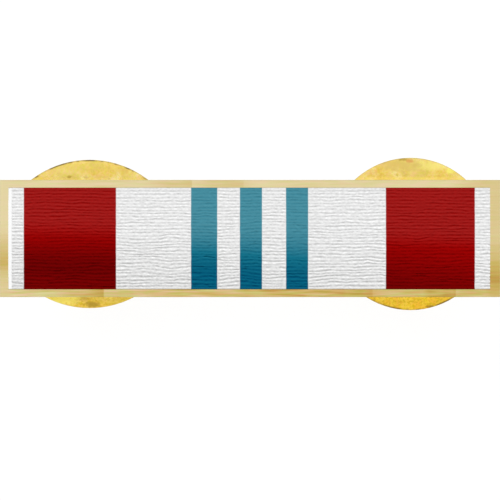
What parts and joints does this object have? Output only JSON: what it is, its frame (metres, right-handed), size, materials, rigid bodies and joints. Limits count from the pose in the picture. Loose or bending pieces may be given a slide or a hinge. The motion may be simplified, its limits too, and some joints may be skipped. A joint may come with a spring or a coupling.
{
  "type": "medal lapel pin",
  "caption": "Striped medal ribbon in a gold frame, worn as a lapel pin, with butterfly clutches that swivel on its posts and pull off them.",
  "frame": {"origin": "on the surface that the pin lies on, under the middle of its bounding box", "axes": "+X along the bar, towards the right of its face, +Y across the bar, towards its upper edge when worn, +Z out of the ribbon's face"},
  "size_m": [0.0364, 0.0112, 0.0096],
  "materials": {
    "pale_gold": "satin pale gold plate",
    "woven_ribbon": "ribbed ribbon in red, white and blue stripes",
    "bright_gold": "bright rolled brass, lightly mottled",
    "spring_wire": "drawn spring wire"
  },
  "bodies": {
    "bar": {"frame": "pale_gold", "ribbon": "woven_ribbon"},
    "left_grip": {"left_clutch_spring": "spring_wire"},
    "left_clutch": {"left_clutch_disc": "bright_gold", "left_clutch_hub": "bright_gold", "left_clutch_wings": "bright_gold"},
    "right_grip": {"right_clutch_spring": "spring_wire"},
    "right_clutch": {"right_clutch_disc": "bright_gold", "right_clutch_hub": "bright_gold", "right_clutch_wings": "bright_gold"}
  },
  "joints": [
    {"name": "left_pull", "type": "slide", "parent": "bar", "child": "left_grip", "axis": [0, 0, -1], "range_m": [-0.0017, 0.0065]},
    {"name": "left_swivel", "type": "hinge", "parent": "left_grip", "child": "left_clutch", "pos_m": [-0.01185, 0, 0.003], "axis": [0, 0, 1], "continuous": true},
    {"name": "right_pull", "type": "slide", "parent": "bar", "child": "right_grip", "axis": [0, 0, -1], "range_m": [-0.0017, 0.0065]},
    {"name": "right_swivel", "type": "hinge", "parent": "right_grip", "child": "right_clutch", "pos_m": [0.01185, 0, 0.003], "axis": [0, 0, 1], "continuous": true}
  ]
}
